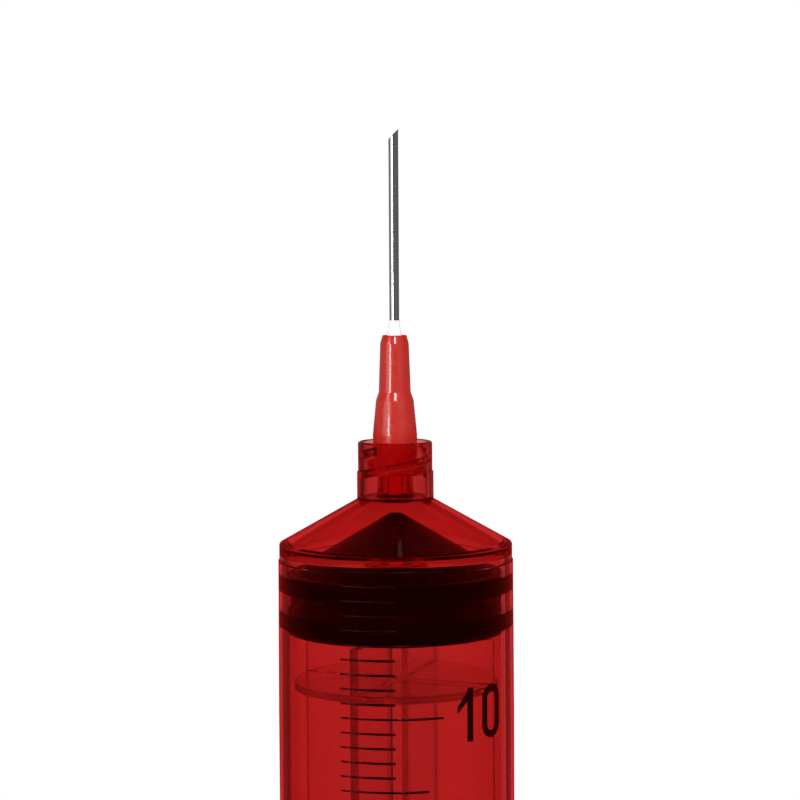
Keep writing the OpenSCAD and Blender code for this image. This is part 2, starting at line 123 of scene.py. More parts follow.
# Stopper
STOP_Z = low_z("stopper")
CONE_TOP_Z = high_z("stopper")
RIB_R = 13.505
FRONT_RIB, GROOVE_LEN, REAR_RIB = 2.2, 2.4, 2.8
GROOVE_DEPTH, GROOVE_STEPS = 0.45, 14
RIB_EDGE, FRONT_EDGE = 0.8, 0.18
CONE_FOOT_R, CONE_FOOT_FILLET = 12.4, 0.2
CONE_FLAT_R, CONE_TOP_FILLET = 0.75, 0.35
LIP_T, LIP_FILLET = 2, 0.2
RECESS_FILLET = 0.1
FIDUCIAL_Z = STOP_Z + REAR_RIB + GROOVE_LEN + FRONT_RIB

# Plunger rod: snap head, neck, plate, disc, fins and thumb rest
HEAD_PLAY = 0.1
HEAD_Z = STOP_Z + LIP_T + HEAD_PLAY
HEAD_R, HEAD_LEN, HEAD_CONE = 6.3, 1.6, 2.4
HEAD_FILLET, HEAD_END_FILLET = 0.2, 0.3
NECK_R, NECK_GAP, NECK_FILLET = 4.2, 0.05, 0.1
PLATE_R, PLATE_T, PLATE_GAP, PLATE_FILLET = 8.5, 0.8, 0.06, 0.2
PLATE_Z = STOP_Z - PLATE_GAP - PLATE_T
DISC_R, DISC_T, DISC_BACK, DISC_FILLET = 12.65, 0.9, 6.4, 0.25
FIN_R, FIN_HALF_T = 12.6, 0.55
FIN_TIP_R = 0.3
FIN_FILLET = 2.05
FIN_TURN_DEG = -23.3
THUMB_R, THUMB_T, THUMB_EDGE = 15.25, 2.4, 0.7
RING_COUNT, RING_W, RING_DEPTH, RING_PITCH = 3, 0.8, 0.35, 2.6
RING_SLANT, RING_EDGE, RING_FILLET = 0.05, 0.08, 0.2

# Needle hub
HUB_Z = low_z("needle_hub")
HUB_TOP_Z = high_z("needle_hub")
HUB_FLANGE_R, HUB_FLANGE_T = 3.3, 1
HUB_LOW_R, HUB_LOW_Z, HUB_WAIST_FILLET = 2.73, 4.9, 2
HUB_MID_R, HUB_MID_Z = 2.32, 9.2
HUB_STEP = 1
HUB_NECK_R, HUB_TOP_R, HUB_RIM_R = 1.97, 1.76, 1.47
HUB_BEVEL = 1
HUB_EDGE, HUB_FILLET = 0.12, 0.3
SOCKET_DEPTH, FUNNEL_LEN = 8.4, 1.6
TAPER_GAP = 0.02
CUP_R, CUP_DEPTH, CUP_GAP = 1.05, 1.3, 0.04
CUP_EDGE, CUP_FILLET = 0.08, 0.1
HOLE_EDGE = 0.03

# Lugs of the hub, and the rings of its foot
LUG_R, LUG_DEG = 3.87, 50
LUG_ROOT_W, LUG_CREST_W = 1, 0.7
LUG_PLAY = 0.1
LUG_END_DEG = 6
LUG_TOP = 2
HUB_RING, HUB_LEDGE = 0.05, 0.001
FLANGE_RINGS, LUG_RINGS = 21, 17

# Needle and its glue
NEEDLE_R, NEEDLE_WALL, NEEDLE_GAP = 0.6, 0.18, 0.02
NEEDLE_LIP, NEEDLE_EDGE = 0.02, 0.05
POINT_DEG = 46
NEEDLE_FOOT_Z = low_z("cannula")
TIP_Z = high_z("cannula")
GLUE_R, GLUE_TOP_R = 0.9, 0.67
GLUE_TOP_Z = high_z("adhesive_bead")
GLUE_SINK, GLUE_EDGE = 0.01, 0.05
GLUE_STEPS = 12

# Print, which faces -Y. The shares are of a line's length or of its width.
FRONT_DEG = -90
INK_T, INK_SINK = 0.05, 0.02
LINE_W = 0.3
LINE_START_DEG = -26.9
UNIT_END_DEG, FIVE_END_DEG, TEN_END_DEG = -0.4, 15.1, 22.5
LINE_STEPS = 24
LINE_ARC_DEG = (-90, -54, -27, 0, 27, 54, 90)
LEFT_SHARE, GAIN_SHARE = 0.62, 0.55
BLOT_SHARE, BLOT_AT, BLOT_SPREAD = 0.16, 0.03, 0.04

# Fineness of the meshes
SMOOTH_DEG = 32
MERGE_M = 1e-8
AREA_WEIGHT = 80
FILLET_ROOM = 0.48
EDGE_STEP_DEG, RIM_STEP_DEG = 18, 20
TIP_STEP_DEG, HOLLOW_STEP_DEG = 30, 15
TINY = 1e-6


# Meshes
def clamp(value):
    """The value, kept between 0 and 1."""
    return max(0.0, min(1.0, value))


def arc(from_deg, to_deg, step_deg):
    """Angles in radians, from one to another by steps in degrees."""
    return [math.radians(a) for a in range(from_deg, to_deg + 1, step_deg)]


def outline(corners, turn_deg=18):
    """Points along an open outline of corners: (radius, height) or (radius, height, fillet)."""
    points = []
    for i, corner in enumerate(corners):
        here = Vector(corner[:2])
        fillet = corner[2] if len(corner) > 2 else 0
        if i in (0, len(corners) - 1) or fillet <= 0:
            points.append(here)
            continue
        before = Vector(corners[i - 1][:2]) - here
        after = Vector(corners[i + 1][:2]) - here
        half = before.angle(after) / 2
        room = min(before.length, after.length) * FILLET_ROOM
        reach = min(fillet / math.tan(half), room)
        fillet = reach * math.tan(half)
        inwards = (before.normalized() + after.normalized()).normalized()
        middle = here + inwards * (fillet / math.sin(half))
        first = here + before.normalized() * reach - middle
        last = here + after.normalized() * reach - middle
        turn = first.angle_signed(last)
        steps = max(2, math.ceil(abs(math.degrees(turn)) / turn_deg))
        points += [middle + Matrix.Rotation(-turn * k / steps, 2) @ first
                   for k in range(steps + 1)]
    return [tuple(p) for p in points]


def linked(name, data):
    """A new object in the scene."""
    made = bpy.data.objects.new(name, data)
    bpy.context.scene.collection.objects.link(made)
    return made


def add_piece(name, points, faces, smooth_deg=SMOOTH_DEG):
    """A closed mesh from points in millimetres, smooth but for its sharp edges."""
    mesh = bpy.data.meshes.new(name)
    mesh.from_pydata([(x * MM, y * MM, z * MM) for x, y, z in points], [], faces)
    mesh.validate()
    return finished(linked(name, mesh), smooth_deg)


def finished(piece, smooth_deg=SMOOTH_DEG):
    """Outward normals and smooth shading, weighted by area so that flat faces stay flat."""
    mesh = piece.data
    work = bmesh.new()
    work.from_mesh(mesh)
    bmesh.ops.remove_doubles(work, verts=work.verts, dist=MERGE_M)
    bmesh.ops.recalc_face_normals(work, faces=work.faces)
    work.to_mesh(mesh)
    work.free()
    mesh.shade_smooth()
    mesh.set_sharp_from_angle(angle=math.radians(smooth_deg))
    weighted = piece.modifiers.new("weighted", "WEIGHTED_NORMAL")
    weighted.keep_sharp = True
    weighted.weight = AREA_WEIGHT
    return piece


def turned(name, rows, segments=192, loop=True, smooth_deg=SMOOTH_DEG):
    """A solid of revolution. A row is (radius, height), or a function that gives them
    for an angle in degrees."""
    points, rings = [], []
    for row in rows:
        if not callable(row) and row[0] == 0:
            points.append((0, 0, row[1]))
            rings.append([len(points) - 1] * segments)
            continue
        rings.append(range(len(points), len(points) + segments))
        for k in range(segments):
            degrees = 360 * k / segments
            radius, height = row(degrees) if callable(row) else row
            angle = math.radians(degrees)
            points.append((radius * math.cos(angle), radius * math.sin(angle), height))
    faces = []
    for ring, above in zip(rings, rings[1:] + ([rings[0]] if loop else [])):
        for k in range(segments):
            n = (k + 1) % segments
            corners = list(dict.fromkeys((ring[k], ring[n], above[n], above[k])))
            if len(corners) > 2:
                faces.append(corners)
    return add_piece(name, points, faces, smooth_deg)


def prism(name, section, from_z, to_z):
    """A straight bar with the section given, closed at both ends."""
    count = len(section)
    points = [(x, y, z) for z in (from_z, to_z) for x, y in section]
    faces = [list(range(count))[::-1], list(range(count, 2 * count))]
    faces += [(k, (k + 1) % count, count + (k + 1) % count, count + k) for k in range(count)]
    return add_piece(name, points, faces)


def joined(name, parts):
    """One solid from several that overlap."""
    body = parts[0]
    body.modifiers.clear()
    for part in parts[1:]:
        part.modifiers.clear()
        union = body.modifiers.new("union", "BOOLEAN")
        union.operation = "UNION"
        union.solver = "EXACT"
        union.object = part
    graph = bpy.context.evaluated_depsgraph_get()
    mesh = bpy.data.meshes.new_from_object(body.evaluated_get(graph))
    mesh.name = name
    for part in parts:
        bpy.data.objects.remove(part)
    return finished(linked(name, mesh))


def place(piece, body, material, slot, *nodes):
    """Gives a piece its material and its body, and hides the CAD nodes that it stands for. The
    slot is not used.
    """
    piece.data.materials.clear()
    piece.data.materials.append(material)
    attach(piece, body)
    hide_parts(*nodes)


# Materials
def add_node(tree, kind, inputs=(), **settings):
    """A shader node with its settings, and its inputs linked or set."""
    made = tree.nodes.new("ShaderNode" + kind)
    for name, value in settings.items():
        setattr(made, name, value)
    for socket, value in dict(inputs).items():
        if isinstance(value, bpy.types.NodeSocket):
            tree.links.new(value, made.inputs[socket])
        else:
            made.inputs[socket].default_value = value
    return made


def add_mix(tree, value, first, second):
    """A colour between two, by the value. The first may be another node's output."""
    if not isinstance(first, bpy.types.NodeSocket):
        first = (*first, 1)
    made = add_node(tree, "Mix", {"Factor": value, "A": first, "B": (*second, 1)},
                    data_type="RGBA")
    return made.outputs["Result"]


class Look:
    """A material with one Principled shader, and short ways to add detail to it."""

    def __init__(self, name, **inputs):
        self.material = bpy.data.materials.new(name)
        self.material.use_nodes = True
        self.tree = self.material.node_tree
        self.shader = self.tree.nodes["Principled BSDF"]
        self.output = self.tree.nodes["Material Output"]
        for socket, value in inputs.items():
            self.shader.inputs[socket.replace("_", " ")].default_value = value

    def node(self, kind, inputs=(), **settings):
        return add_node(self.tree, kind, inputs, **settings)

    def where(self):
        """The place on the object, in metres from the part's origin."""
        return self.node("TexCoord").outputs["Object"]

    def noise(self, per_mm, detail, stretch=(1, 1, 1)):
        """Noise from 0 to 1 with so many features to a millimetre, stretched along the axes."""
        scale = [per_mm / MM / s for s in stretch]
        spread = self.node("Mapping", {"Vector": self.where(), "Scale": scale})
        grain = self.node("TexNoise", {"Vector": spread.outputs["Vector"], "Scale": 1.0,
                                       "Detail": detail})
        return grain.outputs["Fac"]

    def span(self, value, low, high, from_low=0.3, from_high=0.7):
        """The value, spread from low to high."""
        made = self.node("MapRange", {"Value": value, "From Min": from_low,
                                      "From Max": from_high, "To Min": low, "To Max": high})
        return made.outputs["Result"]

    def mixed(self, value, first, second):
        """A colour between two, by the value."""
        return add_mix(self.tree, value, first, second)

    def rise(self, from_z, to_z):
        """From 0 to 1 between two heights in millimetres."""
        parts = self.node("SeparateXYZ", {0: self.where()})
        return self.span(parts.outputs["Z"], 0.0, 1.0, from_z * MM, to_z * MM)

    def inside(self, near_r, far_r):
        """1 within a distance from the axis and 0 beyond another, in millimetres."""
        parts = self.node("SeparateXYZ", {0: self.where()})
        flat = self.node("CombineXYZ", {0: parts.outputs["X"], 1: parts.outputs["Y"]})
        away = self.node("VectorMath", {0: flat.outputs["Vector"]}, operation="LENGTH")
        return self.span(away.outputs["Value"], 1.0, 0.0, near_r * MM, far_r * MM)

    def set(self, socket, value):
        """Links a value or colour to a socket of the shader."""
        self.tree.links.new(value, self.shader.inputs[socket])

    def bump(self, height, depth_mm, strength):
        """Raises the surface by the height, so many millimetres at 1."""
        made = self.node("Bump", {"Height": height, "Distance": depth_mm * MM,
                                  "Strength": strength})
        self.set("Normal", made.outputs["Normal"])

    def lets_lamps_through(self, tint=(1, 1, 1)):
        """Shadow rays pass, tinted at each surface, so that lamps reach what is inside."""
        path = self.node("LightPath")
        clear = self.node("BsdfTransparent", {"Color": (*tint, 1)})
        both = self.node("MixShader", {0: path.outputs["Is Shadow Ray"],
                                       1: self.shader.outputs[0], 2: clear.outputs[0]})
        self.tree.links.new(both.outputs[0], self.output.inputs["Surface"])

    def absorbs(self, colour, per_mm):
        """Darkens what shines through, by the length of the way through it."""
        volume = self.node("VolumeAbsorption", {"Color": (*colour, 1), "Density": per_mm / MM})
        self.tree.links.new(volume.outputs[0], self.output.inputs["Volume"])


def barrel_plastic():
    """Clear plastic, tinted red, with faint flow lines along the tube."""
    dark, pale = (0.71, 0.22, 0.22), (0.74, 0.235, 0.235)
    collar_painted_shade, collar_painted_light = (0.47, 0.1, 0.1), (0.98, 0.45, 0.45)
    collar_below, collar_above, wall_margin = 1, 0.5, 0.2
    inside_dullness = 0.12
    look = Look("barrel_plastic", Transmission_Weight=1.0, IOR=1.49,
                Specular_Tint=(0.15, 0.02, 0.02, 1))
    tube = look.mixed(look.noise(per_mm=0.2, detail=4), dark, pale)
    collar = look.rise(COLLAR_Z - collar_below, COLLAR_Z + collar_above)
    # the collar's outside is painted darker than the tube: painted shade on the hub seen inside
    # the collar
    tube_and_painted_shade = look.mixed(collar, tube, collar_painted_shade)
    # the walls inside the collar are duller, and painted paler than its outside as painted
    # light, so that the male taper seen through the collar looks lighter
    within = look.inside(ROOT_R, ROOT_R + wall_margin)
    inside = look.node("Math", {0: collar, 1: within}, operation="MULTIPLY").outputs[0]
    look.set("Base Color", look.mixed(inside, tube_and_painted_shade, collar_painted_light))
    gloss = look.span(look.noise(per_mm=0.25, detail=4), 0.0, 0.05)
    dull = look.node("Math", {0: inside, 1: inside_dullness, 2: gloss},
                     operation="MULTIPLY_ADD")
    look.set("Roughness", dull.outputs[0])
    flow = look.noise(per_mm=0.5, detail=3, stretch=(1, 1, 12))
    look.bump(flow, depth_mm=0.004, strength=0.3)
    look.absorbs((0.9, 0.0, 0.0), per_mm=0.57)
    look.lets_lamps_through(tint=(0.65, 0.22, 0.22))
    return look.material


def rod_plastic():
    """Nearly colourless plastic, duller than the barrel."""
    dark, pale = (0.95, 0.93, 0.93), (0.99, 0.98, 0.98)
    look = Look("rod_plastic", Transmission_Weight=1.0, IOR=1.22)
    look.set("Base Color", look.mixed(look.noise(per_mm=0.3, detail=4), dark, pale))
    look.set("Roughness", look.span(look.noise(per_mm=0.6, detail=4), 0.14, 0.23))
    flow = look.noise(per_mm=0.4, detail=2, stretch=(1, 1, 6))
    look.bump(flow, depth_mm=0.006, strength=0.2)
    look.absorbs((0.2, 0.0, 0.0), per_mm=0.032)
    look.lets_lamps_through()
    return look.material


def stopper_rubber():
    """Black rubber with a fine moulded grain."""
    dark, pale = (0.002, 0.0018, 0.002), (0.006, 0.005, 0.0055)
    look = Look("stopper_rubber", Specular_IOR_Level=0.06)
    look.set("Base Color", look.mixed(look.noise(per_mm=1.2, detail=5), dark, pale))
    look.set("Roughness", look.span(look.noise(per_mm=2.5, detail=3), 0.24, 0.36))
    look.bump(look.noise(per_mm=7, detail=3), depth_mm=0.02, strength=0.35)
    return look.material


def hub_plastic():
    """Glossy red plastic, solid in colour."""
    dark, pale = (0.43, 0.011, 0.006), (0.46, 0.015, 0.008)
    look = Look("hub_plastic", Coat_Weight=0.35, Coat_Roughness=0.05)
    look.set("Base Color", look.mixed(look.noise(per_mm=0.9, detail=4), dark, pale))
    look.set("Roughness", look.span(look.noise(per_mm=1.5, detail=3), 0.2, 0.32))
    look.bump(look.noise(per_mm=1.2, detail=2), depth_mm=0.01, strength=0.25)
    return look.material


def needle_steel():
    """Drawn steel, with fine lines along it."""
    dark, pale = (0.55, 0.55, 0.56), (0.66, 0.66, 0.67)
    look = Look("needle_steel", Metallic=1.0)
    lines = look.noise(per_mm=7, detail=3, stretch=(1, 1, 60))
    look.set("Base Color", look.mixed(lines, dark, pale))
    look.set("Roughness", look.span(lines, 0.08, 0.18))
    look.bump(lines, depth_mm=0.001, strength=0.08)
    return look.material


def adhesive():
    """Milky glue."""
    dark, pale = (0.95, 0.95, 0.945), (0.99, 0.99, 0.985)
    look = Look("adhesive", Subsurface_Weight=0.12, Subsurface_Radius=(0.0002, 0.0002, 0.0002),
                Subsurface_Scale=1.0, Coat_Weight=0.4)
    look.set("Base Color", look.mixed(look.noise(per_mm=3, detail=3), dark, pale))
    look.set("Roughness", look.span(look.noise(per_mm=4, detail=2), 0.25, 0.4))
    look.bump(look.noise(per_mm=2.5, detail=2), depth_mm=0.02, strength=0.3)
    return look.material


def ink():
    """Black screen print, slightly uneven."""
    dark, pale = (0.001, 0.0002, 0.0002), (0.003, 0.0005, 0.0005)
    look = Look("ink", Specular_IOR_Level=0.35, Specular_Tint=(1, 0.22, 0.22, 1), Alpha=0.94)
    look.set("Base Color", look.mixed(look.noise(per_mm=4, detail=4), dark, pale))
    look.set("Roughness", look.span(look.noise(per_mm=6, detail=3), 0.14, 0.24))
    look.bump(look.noise(per_mm=9, detail=2), depth_mm=0.003, strength=0.3)
    return look.material


# Barrel
def inner_z(radius):
    """Height of the shoulder's inner face at a radius."""
    drop = SHOULDER_WALL / math.cos(math.radians(SHOULDER_DEG))
    return CORNER_Z + (NOSE_R - radius) * SLOPE - drop


def male_r(height):
    """Radius of the male taper at a height."""
    return TAPER_R + (TAPER_Z - height) * TAPER_SHARE


def tube_r(height):
    """Outside of the tube, which narrows a little towards the nose."""
    return TUBE_R - DRAFT * clamp((height - DRAFT_FROM_Z) / (CORNER_Z - NOSE_LEN - DRAFT_FROM_Z))


def wing_r(degrees):
    """Reach of the finger flange: two round wings between two flats, with soft corners."""
    flat = FLANGE_HALF_W / max(abs(math.sin(math.radians(degrees))), TINY)
    gap = clamp((FLANGE_CORNER * 2 - abs(flat - FLANGE_R)) / (FLANGE_CORNER * 2))
    return min(flat, FLANGE_R) - gap * gap * FLANGE_CORNER / 2


def flange_row(inset, height):
    """A ring of the flange that lies so far inside its outline."""
    return lambda degrees: (wing_r(degrees) - inset, height)


def thread_stand(degrees, height):
    """How far the collar's thread stands in from its root."""
    most = 0
    for start in range(THREAD_STARTS):
        along = (degrees - start * 360 / THREAD_STARTS) % 360
        if along > RIDGE_TURN_DEG:
            continue
        across = abs(height - RIDGE_Z - THREAD_LEAD * along / 360)
        rise = clamp((RIDGE_ROOT_W / 2 - across) / ((RIDGE_ROOT_W - RIDGE_CREST_W) / 2))
        ends = clamp(min(along, RIDGE_TURN_DEG - along) / THREAD_END_DEG)
        most = max(most, min(rise, ends) * (ROOT_R - CREST_R))
    return most


def thread_row(height):
    """A ring of the collar's inner wall."""
    return lambda degrees: (ROOT_R - thread_stand(degrees, height), height)


def barrel_rows():
    """Rings of the barrel, once round its section."""
    grip_top = GRIP_Z + FLANGE_T
    bead_z = GRIP_Z + BEAD_Z
    nose_r, nose_z = NOSE_R - DRAFT, CORNER_Z - NOSE_LEN
    slope_r, slope_z = (NOSE_R + COLLAR_LOW_R) / 2, (CORNER_Z + COLLAR_Z) / 2
    step_z = RIM_Z - COLLAR_STEP
    rim_r = (COLLAR_TOP_R - ROOT_R) / 2
    rim_z = RIM_Z - rim_r
    floor_z = COLLAR_Z + COLLAR_FLOOR_H
    bevel_r = BORE_R - BORE_BEVEL
    # the finger flange
    rows = [(BORE_R + MOUTH_BEVEL, GRIP_Z), (TUBE_R + FLANGE_WEB, GRIP_Z)]
    for a in arc(-90, 90, EDGE_STEP_DEG):
        middle = GRIP_Z + FLANGE_EDGE if a <= 0 else grip_top - FLANGE_EDGE
        rows.append(flange_row(FLANGE_EDGE * (1 - math.cos(a)),
                               middle + FLANGE_EDGE * math.sin(a)))
    # up the outside of the tube, the shoulder and the collar, and over its rim
    rows += outline([
        (FLANGE_HALF_W - FLANGE_EDGE, grip_top), (TUBE_R, grip_top, FLANGE_WEB),
        (TUBE_R, DRAFT_FROM_Z, DRAFT_FILLET),
        (tube_r(CORNER_Z), nose_z - NOSE_STEP, NOSE_FILLET), (nose_r, nose_z, NOSE_FILLET),
        (nose_r, CORNER_Z - SHOULDER_DROP / 2, CORNER_FILLET),
        (slope_r, slope_z - SHOULDER_DROP, SLOPE_FILLET),
        (COLLAR_LOW_R, COLLAR_Z - SHOULDER_DROP, COLLAR_FOOT_FILLET),
        (COLLAR_LOW_R, step_z, COLLAR_STEP_FILLET), (COLLAR_TOP_R, step_z, COLLAR_STEP_FILLET),
        (COLLAR_TOP_R, rim_z)], turn_deg=12)[1:-1]
    rows += [(ROOT_R + rim_r + rim_r * math.cos(a), rim_z + rim_r * math.sin(a))
             for a in arc(0, 180, RIM_STEP_DEG)]
    # down the thread
    count = math.ceil((rim_z - floor_z) / THREAD_RING)
    rows += [thread_row(rim_z - THREAD_RING * k) for k in range(1, count)]
    # up the male taper, down its bore and the bore of the tube, to the mouth
    rows += outline([
        (ROOT_R, floor_z), (ROOT_R, COLLAR_Z, COLLAR_FLOOR_FILLET),
        (male_r(COLLAR_Z), COLLAR_Z, TAPER_FOOT_FILLET), (TAPER_R, TAPER_Z, TAPER_EDGE),
        (TAPER_BORE_R, TAPER_Z, TAPER_BORE_EDGE),
        (TAPER_BORE_R, inner_z(TAPER_BORE_R), TAPER_BORE_FILLET),
        (bevel_r, inner_z(bevel_r), BEVEL_TOP_FILLET),
        (BORE_R, inner_z(bevel_r) - BORE_BEVEL, BEVEL_LOW_FILLET),
        (BORE_R, bead_z + BEAD_HALF, BEAD_FOOT_FILLET),
        (BORE_R - BEAD_RISE, bead_z + BEAD_HALF / 2, BEAD_TOP_FILLET),
        (BORE_R - BEAD_RISE, bead_z - BEAD_HALF / 2, BEAD_TOP_FILLET),
        (BORE_R, bead_z - BEAD_HALF, BEAD_FOOT_FILLET),
        (BORE_R, GRIP_Z + MOUTH_BEVEL, MOUTH_FILLET),
        (BORE_R + MOUTH_BEVEL, GRIP_Z)], turn_deg=12)[:-1]
    return rows


def make_barrel(material):
    barrel = turned("barrel_clear", barrel_rows(), segments=288)
    place(barrel, "barrel", material, "barrel_plastic", "barrel")


# Print
def line_piece(name, marks, material):
    """Printed lines as (millilitres, end angle), a little thinner towards their left end."""
    points, faces = [], []
    across = [math.sin(math.radians(a)) for a in LINE_ARC_DEG]
    count = len(across)
    for ml, end_deg in marks:
        middle = ZERO_Z - ml * ML_LEN
        skin_r = tube_r(middle)
        base = len(points)
        for k in range(LINE_STEPS + 1):
            share = k / LINE_STEPS
            degrees = LINE_START_DEG + (end_deg - LINE_START_DEG) * share + FRONT_DEG
            angle = math.radians(degrees)
            blot = BLOT_SHARE * math.exp(-((share - BLOT_AT) / BLOT_SPREAD) ** 2)
            half = LINE_W / 2 * clamp(LEFT_SHARE + GAIN_SHARE * share + blot)
            for side in across:
                radius = skin_r + (INK_T + INK_SINK) * (1 - side * side) - INK_SINK
                points.append((radius * math.cos(angle), radius * math.sin(angle),
                               middle + side * half))
        for k in range(LINE_STEPS):
            a, b = base + count * k, base + count * (k + 1)
            faces += [(a + i, a + (i + 1) % count, b + (i + 1) % count, b + i)
                      for i in range(count)]
        last = base + count * LINE_STEPS
        faces += [tuple(range(base, base + count)), tuple(range(last, last + count))]
    piece = add_piece(name + "_print", points, faces)
    place(piece, "barrel", material, "ink", name)


def make_print(material):
    volumes = range(0, SCALE_END_ML + 1)
    line_piece("unit_marks", [(v, UNIT_END_DEG) for v in volumes if v % 5], material)
    line_piece("five_marks", [(v, FIVE_END_DEG) for v in volumes if v % 10 == 5], material)
    line_piece("ten_marks", [(v, TEN_END_DEG) for v in volumes if v % 10 == 0], material)
    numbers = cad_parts["scale_numbers"]
    for held in numbers.material_slots:
        held.material = material


# Stopper
def make_stopper(material):
    # the groove is an arc that is as wide and as deep as the sizes say
    half = GROOVE_LEN / 2
    groove_r = (half * half + GROOVE_DEPTH * GROOVE_DEPTH) / (2 * GROOVE_DEPTH)
    groove_z = STOP_Z + REAR_RIB + half
    groove_mid = RIB_R - GROOVE_DEPTH + groove_r
    reach = math.degrees(math.asin(half / groove_r))
    bend = [math.radians(-reach + 2 * reach * k / GROOVE_STEPS) for k in range(GROOVE_STEPS + 1)]
    groove = [(groove_mid - groove_r * math.cos(a), groove_z - groove_r * math.sin(a))
              for a in bend]
    lip_z = HEAD_Z - HEAD_PLAY
    recess_r = HEAD_R + HEAD_PLAY
    cone_z = HEAD_Z + HEAD_LEN
    end_r, end_z = HEAD_R - HEAD_CONE, cone_z + HEAD_CONE
    rows = outline([
        (0, CONE_TOP_Z), (CONE_FLAT_R, CONE_TOP_Z, CONE_TOP_FILLET),
        (CONE_FOOT_R, FIDUCIAL_Z, CONE_FOOT_FILLET), (RIB_R, FIDUCIAL_Z, FRONT_EDGE),
        (RIB_R, groove[0][1])], turn_deg=10)
    rows += groove[1:-1]
    rows += outline([
        (RIB_R, groove[-1][1]), (RIB_R, STOP_Z, RIB_EDGE),
        (NECK_R + NECK_GAP, STOP_Z, LIP_FILLET), (NECK_R + NECK_GAP, lip_z, RECESS_FILLET),
        (recess_r, lip_z, RECESS_FILLET), (recess_r, cone_z, RECESS_FILLET),
        (end_r + HEAD_PLAY, end_z, RECESS_FILLET), (0, end_z + HEAD_PLAY)], turn_deg=15)
    stopper = turned("stopper_black", rows, segments=288, loop=False, smooth_deg=40)
    place(stopper, "stopper", material, "stopper_rubber", "stopper")


# Plunger rod
def fin_section():
    """Four fins that cross, with round tips and hollow corners."""
    centre = FIN_HALF_T + FIN_FILLET
    tip_r = FIN_R - FIN_TIP_R
    quarter = []
    for side, from_deg in ((-1, -90), (1, 0)):
        quarter += [(tip_r + FIN_TIP_R * math.cos(a),
                     side * (FIN_HALF_T - FIN_TIP_R) + FIN_TIP_R * math.sin(a))
                    for a in arc(from_deg, from_deg + 90, TIP_STEP_DEG)]
    quarter += [(centre - FIN_FILLET * math.sin(a), centre - FIN_FILLET * math.cos(a))
                for a in arc(0, 90, HOLLOW_STEP_DEG)]
    points = []
    for k in range(4):
        turn = Matrix.Rotation(math.radians(FIN_TURN_DEG + 90 * k), 2)
        points += [tuple(turn @ Vector(p)) for p in quarter]
    return points


def thumb_outline():
    """The thumb rest, with rings sunk in its rear face."""
    corners = [(0, 0)]
    first = (THUMB_R - (RING_COUNT - 1) * RING_PITCH) / 2
    for i in range(RING_COUNT):
        inner = first + i * RING_PITCH
        outer = inner + RING_W
        corners += [(inner, 0, RING_EDGE), (inner + RING_SLANT, RING_DEPTH, RING_FILLET),
                    (outer - RING_SLANT, RING_DEPTH, RING_FILLET), (outer, 0, RING_EDGE)]
    corners += [(THUMB_R, 0, THUMB_EDGE), (THUMB_R, THUMB_T, THUMB_EDGE), (0, THUMB_T)]
    return outline(corners)


def disc_outline():
    """The bracing disc behind the stopper."""
    middle = STOP_Z - DISC_BACK
    half = DISC_T / 2
    return outline([(0, middle - half), (DISC_R, middle - half, DISC_FILLET),
                    (DISC_R, middle + half, DISC_FILLET), (0, middle + half)])


def snap_outline():
    """The plate behind the stopper, and the neck and head inside it."""
    plate_top = PLATE_Z + PLATE_T
    cone_z = HEAD_Z + HEAD_LEN
    end_z = cone_z + HEAD_CONE
    return outline([
        (0, PLATE_Z), (PLATE_R, PLATE_Z, PLATE_FILLET), (PLATE_R, plate_top, PLATE_FILLET),
        (NECK_R, plate_top, NECK_FILLET), (NECK_R, HEAD_Z, NECK_FILLET),
        (HEAD_R, HEAD_Z, HEAD_FILLET), (HEAD_R, cone_z, HEAD_END_FILLET),
        (HEAD_R - HEAD_CONE, end_z, HEAD_END_FILLET), (0, end_z)])


def make_rod(material):
    rod = joined("plunger_clear", [
        turned("thumb", thumb_outline(), loop=False),
        prism("fins", fin_section(), THUMB_T / 2, PLATE_Z + PLATE_T / 2),
        turned("disc", disc_outline(), loop=False),
        turned("snap", snap_outline(), segments=128, loop=False)])
    place(rod, "plunger", material, "rod_plastic", "plunger_rod")


# Needle
def lug_from_deg():
    """Angle at which the first lug starts, just behind a ridge of the thread."""
    lug_z = HUB_Z + LUG_ROOT_W / 2
    space = (RIDGE_ROOT_W + LUG_CREST_W) / 2 + LUG_PLAY
    return (lug_z + space - RIDGE_Z) / THREAD_LEAD * 360


def hub_row(height):
    """A ring of the hub's foot, with its two lugs."""
    plain = HUB_FLANGE_R if height <= HUB_Z + HUB_FLANGE_T else HUB_LOW_R
    first = lug_from_deg()

    def at(degrees):
        radius = plain
        for start in range(THREAD_STARTS):
            along = (degrees - first - start * 360 / THREAD_STARTS) % 360
            if along > LUG_DEG:
                continue
            across = abs(height - HUB_Z - LUG_ROOT_W / 2 - THREAD_LEAD * along / 360)
            rise = clamp((LUG_ROOT_W / 2 - across) / ((LUG_ROOT_W - LUG_CREST_W) / 2))
            ends = clamp(min(along, LUG_DEG - along) / LUG_END_DEG)
            radius = max(radius, HUB_LOW_R + (LUG_R - HUB_LOW_R) * min(rise, ends ** 0.5))
        return radius, height

    return at


